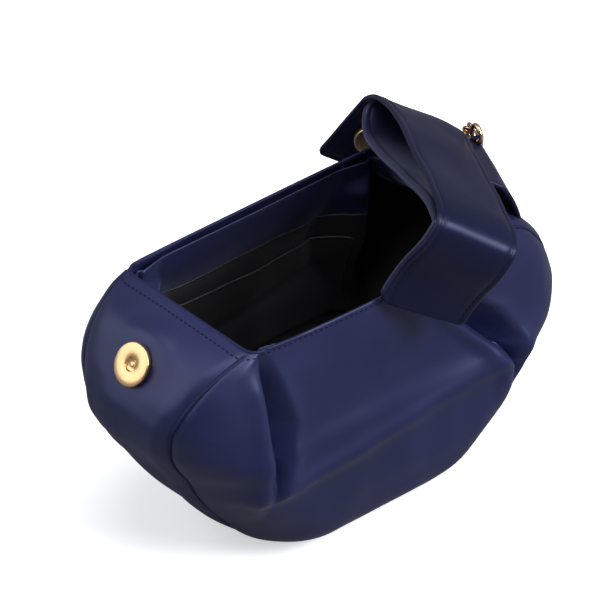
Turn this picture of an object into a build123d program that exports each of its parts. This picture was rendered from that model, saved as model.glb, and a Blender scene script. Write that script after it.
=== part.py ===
from build123d import *
import math
import os

os.makedirs("parts", exist_ok=True)

# Satin evening bag: a half-moon body with an open mouth, and a folded closure flap hinged at its
# right end. Origin at the middle of the bottom, +Z up, +X towards the flap's root and the chain,
# -Y towards the front wall. Millimetres.

# ---- overall sizes ----
bag_height = 114.0          # floor to rim
belly_half_length = 105.0   # widest half-length
belly_half_width = 53.0     # widest half-width
mouth_half_length = 66.0
mouth_half_width = 41.0
mouth_corner = 9.0
foot_half_length = 46.0     # flat patch that the bag stands on
foot_half_width = 34.0

# ---- walls and layers ----
wall = 1.6                  # satin on its backing
lining_depth = 3.0          # outer face of the lining, below the bag's outer face
lining_thickness = 1.0
lining_floor = 3.9          # lining's underside over the base board
layer_gap = 0.2             # between sewn neighbours
rim_height = 4.0
rim_gap = 0.3
facing_height = 28.0        # satin facing band below the rim
seam_width = 3.0
seam_proud = 0.4
board_length = 80.0
board_width = 40.0
board_thickness = 1.8
board_corner = 14.0
base_margin = 3.0           # base panel past the flat patch, along the bag
pocket_half_length = 45.0
pocket_depth = 4.4
pocket_thickness = 0.8
pocket_low = 35.0
pocket_top_drop = 38.0      # pocket's top edge below the rim

# ---- magnetic snap ----
snap_diameter = 18.0
snap_thickness = 2.4
snap_recess_diameter = 5.8
snap_recess_depth = 1.5
snap_button_diameter = 3.0
snap_stub_diameter = 3.8
snap_washer_diameter = 14.0
snap_washer_thickness = 0.7
snap_gap = 0.2
stub_clearance = 0.2
snap_height = 100.0         # snap centre above the floor
snap_tilt = 58.0            # its wall's slope below the horizontal
snap_share = 0.89           # how far out the snap sits, as a share of the widest half-length
snap_margin = 0.4           # flat wall round the snap
snap_edge = 0.35            # chamfer
snap_button_height = 0.95
snap_stud_room = 0.2        # stud to the socket's recess, all round
snap_stub_past = 0.2        # stub beyond the washer
hair = 0.05                 # between the button and its recess
stub_depth_share = 0.55     # of the tab's thickness
lap = 0.1                   # how far pieces of one solid run into each other

# ---- closure flap ----
flap_heading = 54.7         # direction of the folded flap's long way, from +X towards +Y
flap_roll = 30.1            # how far the flap's width dips to its root edge
flap_width = 37.0
flap_corner = (-7.4, -47.5, 2.3)   # front left corner; its height is above the rim
outer_ply = 2.0
inner_ply = 2.6
ply_gap = 0.3
stiffener_share = 0.5       # of a ply's thickness
stiffener_margin = 2.4
stiffener_room = 0.1
tab_corner_radius = 4.0
tab_snap_from_fold = 14.5
tab_snap_across = 15.5      # from the flap's left edge

# ---- root tongue, loop, ring and wrist chain ----
tongue_from = 84.0          # along the flap's long way
tongue_to = 112.0
tongue_depth = 2.0          # its top below the outer ply's top
tongue_reach = 8.0          # past the flap's root edge
web_thickness = 4.4         # the tongue's web, standing on the end panel
web_drop = 36.0             # longer than the web, which the end panel cuts off
hinge_gap = 0.5
ring_along = 103.0
ring_past_edge = 6.5
ring_radius = 3.7
ring_wire = 1.1
ring_seat = 0.7             # ring's wire above the tongue
loop_room = 0.6             # loop's inside to the ring's wire
loop_thickness = 1.2
loop_width = 2.4
loop_leg = 6.0
chain_diameter = 7.0
clasp_length = 16.0
clasp_width = 8.0
clasp_height = 6.4
clasp_opening = 3.6
clasp_corner = 2.0
clasp_opening_corner = 1.6
clasp_opening_place = 0.58  # along the clasp
bend_share = 0.45           # of a straight piece that each bend of the chain may take

# ---- the body's outline: half-lengths, half-widths and corner radii down the height ----
snap_reach = snap_diameter / 2 + snap_margin
snap_centre_x = snap_share * belly_half_length
rise = snap_reach * math.sin(math.radians(snap_tilt))
run = snap_reach * math.cos(math.radians(snap_tilt))
rim_foot = bag_height - rim_height


def share_z(share):
    """A height as a share of the bag's height."""
    return bag_height * share


left_profile = [
    (mouth_half_length, bag_height),
    (mouth_half_length + 1.2, rim_foot),
    (snap_centre_x - run, snap_height + rise),
    (snap_centre_x + run, snap_height - rise),
    (belly_half_length - 0.6, share_z(0.725)),
    (belly_half_length, share_z(0.65)),
    (belly_half_length * 0.924, share_z(0.50)),
    (belly_half_length * 0.848, share_z(0.395)),
    (belly_half_length * 0.733, share_z(0.272)),
    (belly_half_length * 0.648, share_z(0.189)),
    ((belly_half_length * 0.648 + foot_half_length) / 2, share_z(0.085)),
    (foot_half_length, 0.0),
]
right_profile = [
    (mouth_half_length, bag_height),
    (mouth_half_length + 1.2, rim_foot),
    (belly_half_length * 0.743, share_z(0.925)),
    (belly_half_length * 0.838, share_z(0.868)),
    (belly_half_length * 0.914, share_z(0.798)),
    (belly_half_length * 0.981, share_z(0.702)),
] + left_profile[5:]
side_profile = [
    (mouth_half_width, bag_height),
    (mouth_half_width + 0.3, rim_foot),
    (belly_half_width * 0.87, share_z(0.864)),
    (belly_half_width * 0.95, share_z(0.725)),
    (belly_half_width * 0.98, share_z(0.65)),
    (belly_half_width, share_z(0.50)),
    (belly_half_width * 0.98, share_z(0.395)),
    (belly_half_width * 0.92, share_z(0.272)),
    (belly_half_width * 0.84, share_z(0.189)),
    ((belly_half_width * 0.84 + foot_half_width) / 2, share_z(0.085)),
    (foot_half_width, 0.0),
]
corner_profile = [
    (mouth_corner, bag_height),
    (mouth_corner + 0.5, rim_foot),
    (24.0, share_z(0.864)),
    (34.0, share_z(0.725)),
    (38.0, share_z(0.65)),
    (40.0, share_z(0.50)),
    (38.0, share_z(0.395)),
    (34.0, share_z(0.272)),
    (30.0, share_z(0.189)),
    (20.0, 0.0),
]
seam_line = [               # where the end gusset meets the long walls, half-width against height
    (38.4, bag_height),
    (37.0, share_z(0.97)),
    (33.0, share_z(0.857)),
    (28.0, share_z(0.722)),
    (27.0, share_z(0.64)),
    (25.0, share_z(0.50)),
    (23.0, share_z(0.395)),
    (20.0, share_z(0.272)),
    (18.0, share_z(0.189)),
    (17.0, 0.0),
]


def width_at(profile, z):
    """The profile's half-width at a height, on the straight lines between its points."""
    for (wide_a, z_a), (wide_b, z_b) in zip(profile, profile[1:]):
        if z_b <= z <= z_a:
            return wide_b + (wide_a - wide_b) * (z - z_b) / (z_a - z_b)
    return profile[0][0] if z > profile[0][1] else profile[-1][0]


def inset(profile, depth, floor):
    """The profile moved inwards by depth, with mitred corners, ending at the given floor height."""
    lines = []
    for (x_a, z_a), (x_b, z_b) in zip(profile, profile[1:]):
        long = math.hypot(x_b - x_a, z_b - z_a)
        out_x, out_z = (z_a - z_b) / long, (x_b - x_a) / long
        lines.append((x_a - out_x * depth, z_a - out_z * depth, x_b - x_a, z_b - z_a))

    def along(line, z):
        return line[0] + line[2] * (z - line[1]) / line[3]

    points = [(along(lines[0], bag_height), bag_height)]
    for first, second in zip(lines, lines[1:]):
        cross = first[2] * second[3] - first[3] * second[2]
        step = ((second[0] - first[0]) * second[3] - (second[1] - first[1]) * second[2]) / cross
        points.append((first[0] + first[2] * step, first[1] + first[3] * step))
    points.append((along(lines[-1], floor), floor))
    return points


def body_solid(depth, low, high):
    """The bag's outer form moved inwards by depth, between two heights."""
    left = inset(left_profile, depth, min(low, 0.0))
    right = inset(right_profile, depth, min(low, 0.0))
    side = inset(side_profile, depth, min(low, 0.0))
    heights = {round(z, 4) for line in (left, right, side) for _, z in line if low < z < high}
    sections = Sketch()
    for z in sorted(heights | {low, high}):
        to_left, to_right, half = width_at(left, z), width_at(right, z), width_at(side, z)
        corner = max(width_at(corner_profile, z) - depth, 2.0)
        with_centre = Location(((to_right - to_left) / 2, 0, z))
        sections += with_centre * RectangleRounded(to_left + to_right, 2 * half, corner)
    return loft(sections.faces().sort_by(Axis.Z), ruled=True)


def layer(depth, thickness, low, high, floor=None):
    """A layer of the bag's wall; floor is the layer's own thickness at the bottom, if it has one."""
    outer = body_solid(depth, low, high)
    if floor is None:
        return outer - body_solid(depth + thickness, low - 1.0, high + 1.0)
    return outer - body_solid(depth + thickness, low + floor, high + 1.0)


def gusset_prism(grow):
    """Everything between the two seam lines, widened by grow on each side."""
    half = [(seam + grow, z) for seam, z in seam_line]
    half[-1] = (half[-1][0], -5.0)
    half.insert(0, (half[0][0], bag_height + 5.0))
    outline = half + [(-seam, z) for seam, z in reversed(half)]
    face = Plane.YZ * make_face(Polyline(*outline, close=True))
    return extrude(face, amount=3 * belly_half_length, both=True)


def box_between(low, high):
    """A box from its two opposite corners."""
    size = [high[i] - low[i] for i in range(3)]
    middle = [(high[i] + low[i]) / 2 for i in range(3)]
    return Location(middle) * Box(*size)


far = 3 * belly_half_length
nodes = {}

# ---- outer body ----
wall_top = bag_height - rim_height - rim_gap
body_wall = layer(0.0, wall, 0.0, wall_top, floor=wall)
half_seam = seam_width / 2
inside_seams = gusset_prism(-half_seam - layer_gap / 2)
outside_seams = gusset_prism(half_seam + layer_gap / 2)
gusset = body_wall & inside_seams
split_x = foot_half_length + base_margin
nodes["left_end_panel"] = gusset & box_between((-far, -far, -9), (-split_x - layer_gap, far, far))
nodes["right_end_panel"] = gusset & box_between((split_x + layer_gap, -far, -9), (far, far, far))
nodes["base_panel"] = gusset & box_between((-split_x, -far, -9), (split_x, far, far))
long_walls = body_wall - outside_seams
nodes["front_panel"] = long_walls & box_between((-far, -far, -9), (far, 0, far))
nodes["back_panel"] = long_walls & box_between((-far, 0, -9), (far, far, far))
seam_body = layer(-seam_proud, wall + seam_proud, 0.0, wall_top, floor=wall)
seams = (seam_body & gusset_prism(half_seam)) - gusset_prism(-half_seam)
nodes["front_seam_strip"] = seams & box_between((-far, -far, -9), (far, 0, far))
nodes["back_seam_strip"] = seams & box_between((-far, 0, -9), (far, far, far))
nodes["rim_binding"] = layer(0.0, lining_depth + lining_thickness, bag_height - rim_height, bag_height)

# ---- inside ----
facing_low = bag_height - facing_height
lining_low = facing_low - rim_gap
nodes["facing_band"] = layer(lining_depth, lining_thickness, facing_low, wall_top)
nodes["lining_bowl"] = layer(lining_depth, lining_thickness, lining_floor, lining_low, floor=lining_thickness)
pocket_high = bag_height - pocket_top_drop
pocket = layer(pocket_depth, pocket_thickness, pocket_low, pocket_high)
nodes["slip_pocket"] = pocket & box_between((-pocket_half_length, 0, 0), (pocket_half_length, far, far))
board_low = wall + layer_gap
nodes["base_board"] = Location((0, 0, board_low + board_thickness / 2)) * extrude(
    RectangleRounded(board_length, board_width, board_corner), amount=board_thickness / 2, both=True
)

# ---- snap on the left end panel ----
tilt = math.radians(snap_tilt)
left_snap_plane = Plane(
    origin=(-snap_centre_x, 0, snap_height),
    x_dir=(0, 1, 0),
    z_dir=(-math.sin(tilt), 0, math.cos(tilt)),
)


def cylinder_from(plane, diameter, low, high):
    """A cylinder on a plane's normal, between two distances from the plane."""
    return plane.offset(low) * extrude(Circle(diameter / 2), amount=high - low)


def snap_disc(plane, stub_end):
    """A snap's face plate with its stub through the wall; the plane is the wall's outer face."""
    plate = cylinder_from(plane, snap_diameter, snap_gap, snap_gap + snap_thickness)
    plate = chamfer(plate.edges().filter_by(GeomType.CIRCLE), snap_edge)
    recess_floor = snap_gap + snap_thickness - snap_recess_depth
    plate -= cylinder_from(plane, snap_recess_diameter, recess_floor, snap_gap + snap_thickness + 1)
    return plate + cylinder_from(plane, snap_stub_diameter, stub_end, snap_gap + lap)


def snap_washer(plane, top):
    """The backing washer inside the wall, round the stub."""
    ring = cylinder_from(plane, snap_washer_diameter, top - snap_washer_thickness, top)
    return ring - cylinder_from(plane, snap_stub_diameter + 2 * stub_clearance, top - 2, top + 1)


washer_top = -wall - layer_gap
stub_hole = snap_stub_diameter + 2 * stub_clearance
nodes["left_end_panel"] -= cylinder_from(left_snap_plane, stub_hole, -wall - 1, 1)
nodes["panel_snap_socket"] = snap_disc(left_snap_plane, washer_top - snap_washer_thickness - snap_stub_past)
recess_floor = snap_gap + snap_thickness - snap_recess_depth
nodes["panel_snap_button"] = cylinder_from(
    left_snap_plane, snap_button_diameter, recess_floor + hair, recess_floor + hair + snap_button_height
)
nodes["panel_snap_washer"] = snap_washer(left_snap_plane, washer_top)

# ---- closure flap ----
heading, roll = math.radians(flap_heading), math.radians(flap_roll)
long_way = Vector(math.cos(heading), math.sin(heading), 0)
level_way = Vector(math.sin(heading), -math.cos(heading), 0)
wide_way = level_way * math.cos(roll) - Vector(0, 0, 1) * math.sin(roll)
corner_at = Vector(flap_corner[0], flap_corner[1], bag_height + flap_corner[2])
flap_plane = Plane(origin=corner_at, x_dir=long_way, z_dir=wide_way)

# Outer faces of the two plies and the tab, seen along the flap's width: (long way, up from the corner).
outer_line = [
    (0, 0), (0.5, 16.9), (-4.8, 31.9), (-4.6, 41.6), (-1.5, 46.6), (6.9, 47.9), (17.2, 47.3),
    (53, 40.2), (89, 33.2), (103.6, 29.4), (116.8, 22.4), (123.5, 15.5),
]
inner_line = [
    (7.5, 43.4), (14.7, 42.4), (28, 38.2), (54.5, 28.9), (76.6, 20.5), (98.2, 13.6), (108, 11.6),
    (115, 12.6), (118.8, 15.4),
]
tab_line = [(124.6, 14.0), (136, -22)]


def shifted(line, depth):
    """A polyline moved to its right-hand side by depth, with mitred corners."""
    normals = []
    for (x_a, y_a), (x_b, y_b) in zip(line, line[1:]):
        long = math.hypot(x_b - x_a, y_b - y_a)
        normals.append(((y_b - y_a) / long, -(x_b - x_a) / long))
    moved = []
    for i, (x, y) in enumerate(line):
        before, after = normals[max(i - 1, 0)], normals[min(i, len(normals) - 1)]
        sum_x, sum_y = before[0] + after[0], before[1] + after[1]
        scale = 2 * depth / (sum_x**2 + sum_y**2)
        moved.append((x + sum_x * scale, y + sum_y * scale))
    return moved


def pulled(end, beside, cut):
    """An end point moved by cut towards the point beside it."""
    long = math.hypot(beside[0] - end[0], beside[1] - end[1])
    return tuple(end[i] + (beside[i] - end[i]) * cut / long for i in range(2))


def trimmed(line, cut):
    """The line with both of its ends shortened by cut."""
    return [pulled(line[0], line[1], cut)] + line[1:-1] + [pulled(line[-1], line[-2], cut)]


def ply_face(line, depth, thickness):
    """The cross-section of a ply between two depths under a line."""
    outline = shifted(line, depth) + list(reversed(shifted(line, depth + thickness)))
    return make_face(Polyline(*outline, close=True))


def ply(line, depth, thickness, low=0.0, high=flap_width):
    """A ply along a line, between two places across the flap's width."""
    return flap_plane.offset(low) * extrude(ply_face(line, depth, thickness), amount=high - low)


def add_sleeve_and_stiffener(name, line, thickness, free_corner_radius=0.0):
    """A sewn sleeve, hollow inside, and the sealed board that keeps its shape."""
    core = thickness * stiffener_share
    depth = (thickness - core) / 2
    sleeve = ply(line, 0.0, thickness)
    if free_corner_radius:
        across = [edge for edge in sleeve.edges() if edge.length < thickness * 1.2]
        across.sort(key=lambda edge: flap_plane.to_local_coords(edge.center()).Y)
        sleeve = fillet(across[:2], free_corner_radius)
    room = stiffener_room
    inner = trimmed(line, stiffener_margin - room)
    low, high = stiffener_margin, flap_width - stiffener_margin
    sleeve -= ply(inner, depth - room, core + 2 * room, low - room, high + room)
    board = ply(trimmed(line, stiffener_margin), depth, core, low, high)
    nodes[name + "_sleeve"] = sleeve
    nodes[name + "_stiffener"] = board


near_wing = shifted(outer_line, outer_ply + ply_gap)[:4]
add_sleeve_and_stiffener("outer_ply", outer_line, outer_ply)
add_sleeve_and_stiffener("inner_ply", near_wing + inner_line, inner_ply)
add_sleeve_and_stiffener("tab", tab_line, inner_ply, tab_corner_radius)

# Snap stud on the tab's inner face, the mate of the socket on the left end panel.
fold_at, foot_at = tab_line
stud_at = shifted([pulled(fold_at, foot_at, tab_snap_from_fold), foot_at], inner_ply)[0]
stud_origin = flap_plane.from_local_coords(Vector(stud_at[0], stud_at[1], tab_snap_across))
inward = shifted(tab_line, 1.0)[0]
inward_way = long_way * (inward[0] - fold_at[0]) + flap_plane.y_dir * (inward[1] - fold_at[1])
stud_plane = Plane(origin=stud_origin, x_dir=wide_way, z_dir=inward_way)
stud_plate = cylinder_from(stud_plane, snap_diameter, snap_gap, snap_gap + snap_thickness)
stud_plate = chamfer(stud_plate.edges().filter_by(GeomType.CIRCLE), snap_edge)
stud_top = snap_gap + snap_thickness
stud_width = snap_recess_diameter - 2 * snap_stud_room
stud_tip = stud_top + snap_recess_depth - snap_stud_room
stud_plate += cylinder_from(stud_plane, stud_width, stud_top - lap, stud_tip)
stub_depth = -inner_ply * stub_depth_share
stud_stub = cylinder_from(stud_plane, snap_stub_diameter, stub_depth, snap_gap + lap)
nodes["tab_snap_stud"] = stud_plate + stud_stub
stud_hole = cylinder_from(stud_plane, stub_hole, stub_depth - lap, 1.0)
nodes["tab_sleeve"] -= stud_hole
nodes["tab_stiffener"] -= stud_hole

# ---- root tongue, standing on the right end panel and meeting the flap at its root edge ----


def outer_height(along):
    """Height of the outer ply's top above the flap's corner, at a place along the flap."""
    for (x_a, y_a), (x_b, y_b) in zip(outer_line[5:], outer_line[6:]):
        if x_a <= along <= x_b:
            return y_a + (y_b - y_a) * (along - x_a) / (x_b - x_a)


between = [point for point in outer_line[5:] if tongue_from < point[0] < tongue_to]
tongue_line = [(tongue_from, outer_height(tongue_from))] + between + [(tongue_to, outer_height(tongue_to))]
tongue_start = flap_width + hinge_gap
tongue_end = flap_width + tongue_reach
tongue_top = ply(tongue_line, tongue_depth, outer_ply, tongue_start, tongue_end)
web_face = flap_plane.offset(tongue_end) * ply_face(tongue_line, tongue_depth, web_thickness)
web = extrude(web_face, amount=web_drop, dir=(0, 0, -1))
tongue = tongue_top + web
tongue -= body_solid(-layer_gap - seam_proud, 0.0, bag_height)
nodes["root_tongue"] = tongue.solids().sort_by(Axis.Z)[-1]

# ---- ring and its loop on the tongue ----
ring_across = flap_width + ring_past_edge
ring_level = outer_height(ring_along) - tongue_depth
ring_foot = flap_plane.from_local_coords(Vector(ring_along, ring_level, ring_across))
wire_height = ring_seat + ring_wire
ring_centre = ring_foot + Vector(0, 0, wire_height + ring_radius)
wire_centre = ring_foot + Vector(0, 0, wire_height)
ring_plane = Plane(origin=ring_centre, x_dir=long_way, z_dir=level_way)
nodes["chain_ring"] = ring_plane * Torus(ring_radius, ring_wire)
loop_plane = Plane(origin=wire_centre, x_dir=level_way, z_dir=long_way)
loop_inside = ring_wire + loop_room
loop_outside = loop_inside + loop_thickness
arch = Circle(loop_outside) - Circle(loop_inside)
upright = loop_plane.to_local_coords(Vector(wire_centre + Vector(0, 0, 1))).Y
low_side = -1.0 if upright > 0 else 1.0
low_half = Pos(0, low_side * loop_leg / 2)
below = low_half * Rectangle(2 * loop_outside + 2, loop_leg)
legs = low_half * (Rectangle(2 * loop_outside, loop_leg) - Rectangle(2 * loop_inside, loop_leg + 1))
loop_solid = loop_plane * extrude((arch - below) + legs, amount=loop_width / 2, both=True)
under_tongue = ply(tongue_line, tongue_depth - lap, 3 * loop_leg, 0.0, 2 * flap_width)
nodes["ring_loop"] = (loop_solid - under_tongue).solids().sort_by(Axis.Z)[-1]

# ---- wrist chain, as the plain tube that its links follow, and its end clasp ----
beside, behind = belly_half_length, belly_half_width
chain_route = [
    wire_centre + Vector(3.0, 4.4, 2.4),
    wire_centre + Vector(6.9, 11.4, -2.3),
    (beside + 0.5, behind * 0.49, share_z(0.939)),
    (beside + 4.0, behind * 0.62, share_z(0.798)),
    (beside + 5.5, behind * 0.717, share_z(0.632)),
    (beside + 6.0, behind * 0.774, share_z(0.439)),
    (beside + 6.0, behind * 0.83, share_z(0.246)),
    (beside + 4.0, behind * 0.981, 11.0),
    (beside - 2.0, behind + 13.5, 3.9),
    (beside - 11.0, behind + 23.0, 3.6),
    (beside - 25.0, behind + 30.0, 3.6),
    (beside - 41.0, behind + 33.0, 3.6),
    (beside - 55.0, behind + 39.0, 3.6),
    (beside - 65.0, behind + 48.0, 3.6),
]
corners = [Vector(*point) for point in chain_route]
radii = []
for before, here, after in zip(corners, corners[1:], corners[2:]):
    turn = math.radians((here - before).get_angle(after - here))
    shorter = min((here - before).length, (after - here).length)
    radii.append(bend_share * shorter / math.tan(turn / 2))
route = FilletPolyline(*corners, radius=radii)
print("chain radii", [round(radius, 1) for radius in radii], "length", round(route.length, 1))
tube = sweep(Plane(route @ 0, z_dir=route % 0) * Circle(chain_diameter / 2), path=route)
print("tube volume over section times length", tube.volume / (math.pi * chain_diameter**2 / 4 * route.length))
nodes["wrist_chain"] = tube
clasp_way = (corners[-1] - corners[-2]).normalized()
clasp_plane = Plane(origin=corners[-1], x_dir=(0, 0, 1), z_dir=clasp_way)
clasp_body = extrude(RectangleRounded(clasp_height, clasp_width, clasp_corner), amount=clasp_length)
clasp_face = Plane.YZ * RectangleRounded(clasp_opening, clasp_length / 2, clasp_opening_corner)
clasp_hole = extrude(clasp_face, amount=clasp_height, both=True)
nodes["chain_clasp"] = clasp_plane * (clasp_body - Pos(0, 0, clasp_length * clasp_opening_place) * clasp_hole)

for name, shape in nodes.items():
    export_step(shape, f"parts/{name}.step")
    print(name, len(shape.solids()), round(shape.volume, 1), shape.is_valid)
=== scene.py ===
import math

import bmesh
import bpy
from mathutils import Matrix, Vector, noise


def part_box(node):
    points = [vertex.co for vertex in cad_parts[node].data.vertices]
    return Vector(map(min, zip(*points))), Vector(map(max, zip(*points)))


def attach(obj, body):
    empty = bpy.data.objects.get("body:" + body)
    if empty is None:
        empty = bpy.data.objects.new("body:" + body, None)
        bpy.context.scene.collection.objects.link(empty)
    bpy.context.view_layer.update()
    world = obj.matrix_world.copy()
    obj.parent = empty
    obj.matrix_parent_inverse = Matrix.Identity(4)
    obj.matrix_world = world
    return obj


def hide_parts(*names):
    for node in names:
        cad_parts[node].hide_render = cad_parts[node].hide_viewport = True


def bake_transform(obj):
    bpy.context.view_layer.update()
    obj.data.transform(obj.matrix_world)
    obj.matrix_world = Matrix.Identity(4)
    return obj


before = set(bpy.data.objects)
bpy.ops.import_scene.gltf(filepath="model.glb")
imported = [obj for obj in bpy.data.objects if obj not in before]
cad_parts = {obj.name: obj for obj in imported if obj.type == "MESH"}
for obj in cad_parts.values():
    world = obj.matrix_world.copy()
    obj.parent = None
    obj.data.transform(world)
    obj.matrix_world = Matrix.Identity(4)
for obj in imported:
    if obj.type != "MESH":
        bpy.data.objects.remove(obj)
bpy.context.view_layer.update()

print("frame loaded")

metre = 0.001                                   # lengths are in millimetres until a piece is finished
upward = Vector((0, 0, 1))


def smooth(low, high, value):
    t = min(max((value - low) / (high - low), 0.0), 1.0)
    return t * t * (3 - 2 * t)


def bell(value, width):
    return math.exp(-(value / width) ** 2)


def alongTable(table, x):                       # straight-line reading of a short table
    for (a, va), (b, vb) in zip(table, table[1:]):
        if x <= b:
            return va + (vb - va) * (x - a) / (b - a)
    return table[-1][1]


# slopes at each row that keep a curve through the rows from overshooting
def slopesOf(table):
    straight = [[(b - a) / (low[0] - high[0]) for a, b in zip(high, low)]
                for high, low in zip(table, table[1:])]
    inner = [[0.0 if m * n <= 0 else 2 * m * n / (m + n) for m, n in zip(one, two)]
             for one, two in zip(straight, straight[1:])]
    return [straight[0]] + inner + [straight[-1]]


# row values at a height, on smooth curves through the rows
def lookUp(table, slopes, z):
    z = min(max(z, table[-1][0]), table[0][0])
    for k in range(len(table) - 1):
        if z >= table[k + 1][0]:
            break
    high, low = table[k], table[k + 1]
    gap = low[0] - high[0]
    t = (z - high[0]) / gap
    weights = (2 * t ** 3 - 3 * t ** 2 + 1, (t ** 3 - 2 * t ** 2 + t) * gap,
               3 * t ** 2 - 2 * t ** 3, (t ** 3 - t ** 2) * gap)
    return [a * weights[0] + ma * weights[1] + b * weights[2] + mb * weights[3]
            for a, ma, b, mb in zip(high, slopes[k], low, slopes[k + 1])]


def lineLength(pts):
    return sum((b - a).length for a, b in zip(pts, pts[1:]))


def spacedPoints(pts, count):                   # the same line as evenly spaced points
    lengths = [0.0]
    for a, b in zip(pts, pts[1:]):
        lengths.append(lengths[-1] + (b - a).length)
    out, k = [], 0
    for i in range(count):
        want = lengths[-1] * i / (count - 1)
        while k < len(pts) - 2 and lengths[k + 1] < want:
            k += 1
        gap = max(lengths[k + 1] - lengths[k], 1e-9)
        out.append(pts[k].lerp(pts[k + 1], min(max((want - lengths[k]) / gap, 0.0), 1.0)))
    return out


def roundedLine(points, count, rounds):         # corners cut a few times, then evenly spaced
    pts = [Vector(p) for p in points]
    for _ in range(rounds):
        cut = [pts[0]]
        for a, b in zip(pts, pts[1:]):
            cut += [a.lerp(b, 0.25), a.lerp(b, 0.75)]
        pts = cut + [pts[-1]]
    return spacedPoints(pts, count)


def ovalLine(centre, along, across, count):
    turns = [2 * math.pi * k / count for k in range(count)]
    return [centre + along * math.cos(turn) + across * math.sin(turn) for turn in turns]


def boxCentre(node):
    low, high = (Vector(corner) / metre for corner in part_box(node))
    return (low + high) / 2


# turns a bmesh in millimetres into a shown piece on a body
def finishPiece(name, bm, material, bodyName, replaced=(), recalc=True):
    bmesh.ops.scale(bm, vec=(metre, metre, metre), verts=bm.verts)
    if recalc:
        bmesh.ops.recalc_face_normals(bm, faces=bm.faces)
    for face in bm.faces:
        face.smooth = True
    mesh = bpy.data.meshes.new(name)
    bm.to_mesh(mesh)
    bm.free()
    piece = bpy.data.objects.new(name, mesh)
    bpy.context.scene.collection.objects.link(piece)
    mesh.materials.append(material)
    if bodyName:
        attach(piece, bodyName)
    if replaced:
        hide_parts(*replaced)
    return piece


# a grid whose points go where place(u, v) says, with a uv map in metres and its doubles merged
def gridPiece(columns, rows, place, uvSize, merge=0.0, bm=None):
    bm = bm or bmesh.new()
    made = bmesh.ops.create_grid(bm, x_segments=columns, y_segments=rows, size=0.5)["verts"]
    uvLayer = bm.loops.layers.uv.verify()
    for face in {f for v in made for f in v.link_faces}:
        for loop in face.loops:
            co = loop.vert.co
            loop[uvLayer].uv = ((co.x + 0.5) * uvSize[0] * metre, (co.y + 0.5) * uvSize[1] * metre)
    for vert in made:
        vert.co = place(vert.co.x + 0.5, vert.co.y + 0.5)
    if merge:
        bmesh.ops.remove_doubles(bm, verts=bm.verts, dist=merge)
    return bm


# a tube of oval section along a path; open ends are drawn in
def tubeAlong(path, look, closed=False, bm=None, up=upward):
    count = len(path)
    frames, previous = [], up
    for i, p in enumerate(path):
        a = path[i - 1] if i or closed else path[0]
        b = path[(i + 1) % count] if i < count - 1 or closed else path[-1]
        way = (b - a).normalized()
        side = previous.cross(way)
        side = side.normalized() if side.length > 1e-6 else way.orthogonal().normalized()
        previous = way.cross(side)
        frames.append((p, side, previous))
    wide, tall = look["size"]
    spans = count if closed else count - 1

    def tubePoint(u, v):
        i = int(round(v * spans))
        i = i % count if closed else min(i, count - 1)
        p, side, over = frames[i]
        angle = u * 2 * math.pi
        fromEnd = min(i, count - 1 - i)
        shrink = (0.05, 0.75)[fromEnd] if fromEnd < 2 and not closed else 1.0
        return p + (side * math.cos(angle) * wide + over * math.sin(angle) * tall) * shrink

    uvSize = (wide * 6.3, lineLength(path))     # about once round the tube
    return gridPiece(look["sides"], spans, tubePoint, uvSize, 0.004, bm)


def addModifier(piece, kind, **values):
    modifier = piece.modifiers.new(kind.lower(), kind)
    for key, value in values.items():
        setattr(modifier, key, value)


class Value:                                    # a shader socket with Python arithmetic
    def __init__(self, maker, socket):
        self.maker, self.socket = maker, socket

    def math(self, operation, first, second):
        return self.maker.node("ShaderNodeMath", {"operation": operation}, {0: first, 1: second})[0]

    def __add__(self, other):
        return self.math("ADD", self, other)

    def __radd__(self, other):
        return self.math("ADD", other, self)

    def __mul__(self, other):
        return self.math("MULTIPLY", self, other)

    def __rmul__(self, other):
        return self.math("MULTIPLY", other, self)


class Maker:                                    # builds the nodes of one material or world
    def __init__(self, owner, **fixed):
        owner.use_nodes = True
        self.owner, self.tree = owner, owner.node_tree
        self.shader = next(n for n in self.tree.nodes if n.type in {"BSDF_PRINCIPLED", "BACKGROUND"})
        for key, value in fixed.items():
            self.shader.inputs[key.replace("_", " ")].default_value = value

    def node(self, kind, settings=None, inputs=None):
        made = self.tree.nodes.new(kind)
        for key, value in (settings or {}).items():
            setattr(made, key, value)
        for key, value in (inputs or {}).items():
            if isinstance(value, Value):
                self.tree.links.new(value.socket, made.inputs[key])
            else:
                made.inputs[key].default_value = value
        return [Value(self, socket) for socket in made.outputs]

    def coordinate(self, which, scale=(1, 1, 1)):
        source = next(v for v in self.node("ShaderNodeTexCoord") if v.socket.name == which)
        return self.node("ShaderNodeMapping", {}, {"Vector": source, "Scale": scale})[0]

    def noise(self, vector, scale, detail=2.0, roughness=0.5):
        return self.node("ShaderNodeTexNoise", {}, {"Vector": vector, "Scale": scale, "Detail": detail,
                                                    "Roughness": roughness})[0]

    def mix(self, factor, colourA, colourB):
        return self.node("ShaderNodeMix", {"data_type": "RGBA"}, {0: factor, 6: colourA, 7: colourB})[2]

    def ranged(self, value, fromLow, fromHigh, toLow, toHigh):
        inputs = {0: value, 1: fromLow, 2: fromHigh, 3: toLow, 4: toHigh}
        return self.node("ShaderNodeMapRange", {}, inputs)[0]

    def bump(self, height, strength, distance):
        inputs = {"Strength": strength, "Distance": distance, "Height": height}
        return self.node("ShaderNodeBump", {}, inputs)[0]

    def feed(self, name, value):
        self.tree.links.new(value.socket, self.shader.inputs[name])


def newMaker(name, **fixed):
    return Maker(bpy.data.materials.new(name), **fixed)


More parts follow.
